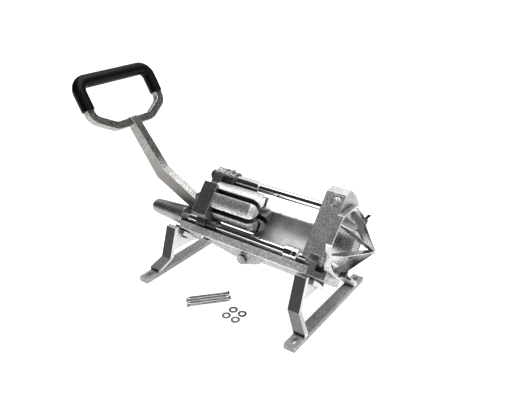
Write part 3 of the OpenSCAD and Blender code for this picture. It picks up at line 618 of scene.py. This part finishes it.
# %% Threaded screws
SCREW_L, SCREW_R, HEAD_R, HEAD_H, TIP_L = 78 * MM, 2.1 * MM, 3.9 * MM, 3.5 * MM, 8 * MM
PITCH, RIDGE, SIDES = 2.4 * MM, 0.55 * MM, 20
SHANK_L, CORE_R = 0.3 * SCREW_L, SCREW_R - 0.35 * MM
HEAD_FLAT, BARE_TIP, BLUNT = 0.6 * MM, 1.5 * MM, 0.02
RING_STEP, RIDGE_SLOPE, RIDGE_FADE = 0.4 * MM, 4.0, 1.3
HEAD_STEPS = [0, 0.3 * MM, HEAD_FLAT, 2 * MM, HEAD_H]


def screw_radius(x, angle):
    if x < HEAD_H:
        return HEAD_R + (SCREW_R - HEAD_R) * max(0.0, x - HEAD_FLAT) / (HEAD_H - HEAD_FLAT)
    core = CORE_R if x > SHANK_L else SCREW_R
    if x > SCREW_L - TIP_L:
        core *= max(BLUNT, (SCREW_L - x) / TIP_L)
    if x < SHANK_L or x > SCREW_L - BARE_TIP:
        return core
    turn = (x / PITCH - angle / (2 * math.pi)) % 1.0
    crest = max(0.0, 1.0 - abs(turn - 0.5) * RIDGE_SLOPE)
    return core + RIDGE * crest * min(1.0, core / SCREW_R * RIDGE_FADE)


def add_screw(mesh, origin, way):
    side, up = Vector((-way.y, way.x, 0)), Vector((0, 0, 1))
    count = int((SCREW_L - HEAD_H) / RING_STEP)
    places = HEAD_STEPS + [HEAD_H + i * RING_STEP for i in range(1, count + 1)] + [SCREW_L]
    turns = [2 * math.pi * k / SIDES for k in range(SIDES)]
    add_rings(mesh, [[origin + way * x + (side * math.cos(a) + up * math.sin(a)) * screw_radius(x, a)
                      for a in turns] for x in places])


SCREWS_AT = Vector((-0.1857, -0.0948, HEAD_R))
SCREWS_TURN, SCREW_GAP, SCREWS = math.radians(47.4), 7.4 * MM, 4
along = Vector((math.cos(SCREWS_TURN), math.sin(SCREWS_TURN), 0))
across = Vector((-along.y, along.x, 0))
pile = bmesh.new()
for i in range(SCREWS):
    way = along if i % 2 == 0 else -along
    middle = SCREWS_AT + across * (i - (SCREWS - 1) / 2) * SCREW_GAP
    add_screw(pile, middle - way * SCREW_L / 2, way)
screws = finish_mesh("fixing_screws", pile, skins["screw_steel"])
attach(screws, "stand")
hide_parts("mounting_screws")
print("screws:", len(screws.data.vertices), "points")

# %% [markdown]
# The head has an open pocket over each rod's end. The far one is closed by a small recessed cover held
# with a nut, which is what the photo shows on that wall. Cover, washer, nut and stud are drawn flat in
# the wall's own frame, where every number is a plain size, and turned into place together at the end.

# %% Cover over the far pocket
CHANNEL_TILT = math.radians(49.8)
POCKET_LOW, POCKET_HIGH, WALL_AT = (-3.0, 38.6), (15.0, 60.0), 50.0  # mm
LID = [(0, -6.0), (0, -1.0), (0.8, -0.3), (2.4, -0.3), (3.0, -1.2)]  # inset and height of each ring
WASHER = [(6.8, -2.0), (6.8, -0.1), (6.4, 0.1)]  # radius and height of each ring
NUT = [(5.6, -0.1), (5.8, 0.2), (5.8, 3.6), (5.2, 4.1)]
STUD = [(2.9, 0.0), (2.9, 5.6), (2.4, 6.1)]
tilted = Matrix.Translation((0, 0, AXIS_HEIGHT * MM)) @ Matrix.Rotation(CHANNEL_TILT, 4, "X")


def lid_ring(inset, height):
    (x0, y0), (x1, y1) = POCKET_LOW, POCKET_HIGH
    corners = [(x0 + inset, y0 + inset), (x1 - inset, y0 + inset),
               (x1 - inset, y1 - inset), (x0 + inset, y1 - inset)]
    return [Vector((x, y, WALL_AT + height)) * MM for x, y in corners]


def turned_ring(radius, height, sides):
    x, y = ((low + high) / 2 for low, high in zip(POCKET_LOW, POCKET_HIGH))
    turns = [2 * math.pi * k / sides for k in range(sides)]
    return [Vector((x + radius * math.cos(a), y + radius * math.sin(a), WALL_AT + height)) * MM
            for a in turns]


lid = bmesh.new()
add_rings(lid, [lid_ring(inset, height) for inset, height in LID])
for profile, sides in ((WASHER, 40), (NUT, 6), (STUD, 32)):
    add_rings(lid, [turned_ring(radius, height, sides) for radius, height in profile])
bmesh.ops.transform(lid, matrix=tilted, verts=lid.verts)
cover = finish_mesh("pocket_cover", lid, skins["smooth_casting"])
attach(cover, "stand")
print("pocket cover:", len(cover.data.polygons), "faces")

# %% [markdown]
# On the loading side the carriage plate stands up like a broad bar in front of the fingers' roots. The
# CAD model's plate is narrower there, so the bar is added. Its outline is repeated along the rods, a
# little smaller at both ends, which breaks the corners without a Bevel modifier. Its far end steps
# down.

# %% Raised edge of the carriage plate
EDGE_OUTLINE = [(-40, 6), (-42, 28), (-38, 36), (23, 36), (20, 24), (29, 17), (29, 0), (-20, -4)]  # mm
EDGE_RINGS = [(-254.8, 0.96), (-253.6, 1.0), (-225.4, 1.0), (-224.2, 0.96)]  # place and size


def edge_ring(x, share):
    count = len(EDGE_OUTLINE)
    middle = [sum(point[i] for point in EDGE_OUTLINE) / count for i in (0, 1)]
    return [Vector((x, middle[0] + (y - middle[0]) * share, middle[1] + (z - middle[1]) * share)) * MM
            for y, z in EDGE_OUTLINE]


bar = bmesh.new()
add_rings(bar, [edge_ring(x, share) for x, share in EDGE_RINGS])
bmesh.ops.transform(bar, matrix=tilted, verts=bar.verts)
# The raised edge gets the plate's near-black finish, which is painted shade.
plate_edge = finish_mesh("plate_edge", bar, skins["shaded_plate_edge_casting"])
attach(plate_edge, "carriage")
print("plate edge:", len(plate_edge.data.polygons), "faces")

# %% [markdown]
# The floor is matt, nearly white and glows a little, so it comes out as white as in the photo and the
# faces that look down stay pale. A brighter lamp would whiten it too, but would also flatten the metal.

# %% Floor
FLOOR_HALF, FLOOR_DROP = 20.0, 0.2 * MM
flat = bmesh.new()
bmesh.ops.create_grid(flat, x_segments=1, y_segments=1, size=FLOOR_HALF)
material("matt_floor", lambda graph: {
    "Base Color": (0.9, 0.9, 0.9), "Roughness": 0.9, "Specular IOR Level": 0.1,
    "Emission Color": (1.0, 1.0, 1.0), "Emission Strength": 0.75})
floor = finish_mesh("floor", flat, skins["matt_floor"])
floor.location = (0, 0, -FLOOR_DROP)
print("floor:", 2 * FLOOR_HALF, "m across")

# %% [markdown]
# Metal shows its room more than its own colour, so the room is half of the finish. It is a white tent.
# A dark patch in front and to the left gives the loading side its deep grey, and a stack of narrow
# bands round the rods' direction draws the long lines on them. Cards and lamps could be placed for
# this one by one, but a world painted by direction has no edges to place. What the camera sees past
# the floor is plain white. That is asked of the world alone, so no finish depends on the camera.
# The view transform is Standard, because the default one would turn that white grey.

# %% Tent
DOME = [(0.0, 0.42), (0.25, 0.55), (0.5, 0.8), (0.8, 1.0)]  # brightness from level to overhead
BANDS = [(0.0, 0.08), (0.125, 0.1), (0.165, 1.0), (0.50, 1.0), (0.56, 0.15), (0.60, 1.0),
         (0.66, 0.1), (0.71, 0.9), (0.76, 0.12), (0.84, 0.8), (0.92, 0.15)]  # by half turns round X
DARK_CARD, BACK_CARD, RIGHT_CARD = (-0.5, -0.62, 0.6), (-0.5, 0.8, 0.35), (1.0, -0.2, 0.3)
BLACK, WHITE = (0, 0, 0), (1, 1, 1)


def paint_room(world):
    world.use_nodes = True
    graph = Graph(world.node_tree)
    way = graph.add("ShaderNodeTexCoord", {}, {}, "Generated")

    def card(direction, low, high):
        sockets = {0: way, 1: Vector(direction).normalized()}
        near = graph.add("ShaderNodeVectorMath", {"operation": "DOT_PRODUCT"}, sockets, "Value")
        return graph.fade(near, low, high)

    level = graph.ramp(graph.component("Z", way), DOME) * (1.0 - card(DARK_CARD, 0.55, 0.86) * 0.93)
    level = level + card(RIGHT_CARD, 0.5, 0.95) * 0.35 + card(BACK_CARD, 0.6, 0.95) * 0.1
    turn = graph.component("Z", way).maths("ARCTAN2", graph.component("Y", way))
    half_turns = (turn / math.pi).maths("ABSOLUTE")
    level = level * (0.15 + graph.ramp(half_turns, BANDS) * 0.85)
    seen = graph.add("ShaderNodeLightPath", {}, {}, "Is Camera Ray")
    colour = graph.blend(seen, graph.blend(level, BLACK, WHITE), WHITE)
    light = graph.add("ShaderNodeBackground", {}, {"Color": colour, "Strength": 1.0})
    graph.add("ShaderNodeOutputWorld", {}, {"Surface": light})


bpy.context.scene.view_settings.view_transform = "Standard"
bpy.context.scene.world = bpy.data.worlds.new("tent")
paint_room(bpy.context.scene.world)
print("tent:", len(BANDS), "bands")

# %% [markdown]
# Two wide lamps lift the top and the right side. They are large and weak: a small lamp would put hard
# shadows under the machine, which the photo doesn't have.

# %% Lamps
TARGET = (-0.16, 0, 0.1)
LAMPS = {"overhead": ((-0.1, 0.15, 1.5), (1.6, 1.2), 18), "right_side": ((1.3, -0.1, 0.8), (0.9, 0.9), 2)}


def lamp(name, at, size, watts):
    data = bpy.data.lights.new(name, "AREA")
    data.shape, data.size, data.size_y, data.energy = "RECTANGLE", size[0], size[1], watts
    made = bpy.data.objects.new(name, data)
    made.location = at
    made.rotation_euler = (Vector(TARGET) - Vector(at)).to_track_quat("-Z", "Y").to_euler()
    bpy.context.scene.collection.objects.link(made)


for name, (at, size, watts) in LAMPS.items():
    lamp(name, at, size, watts)
print("lamps:", ", ".join(LAMPS))

# %% [markdown]
# Dressing must not change the machine's size.
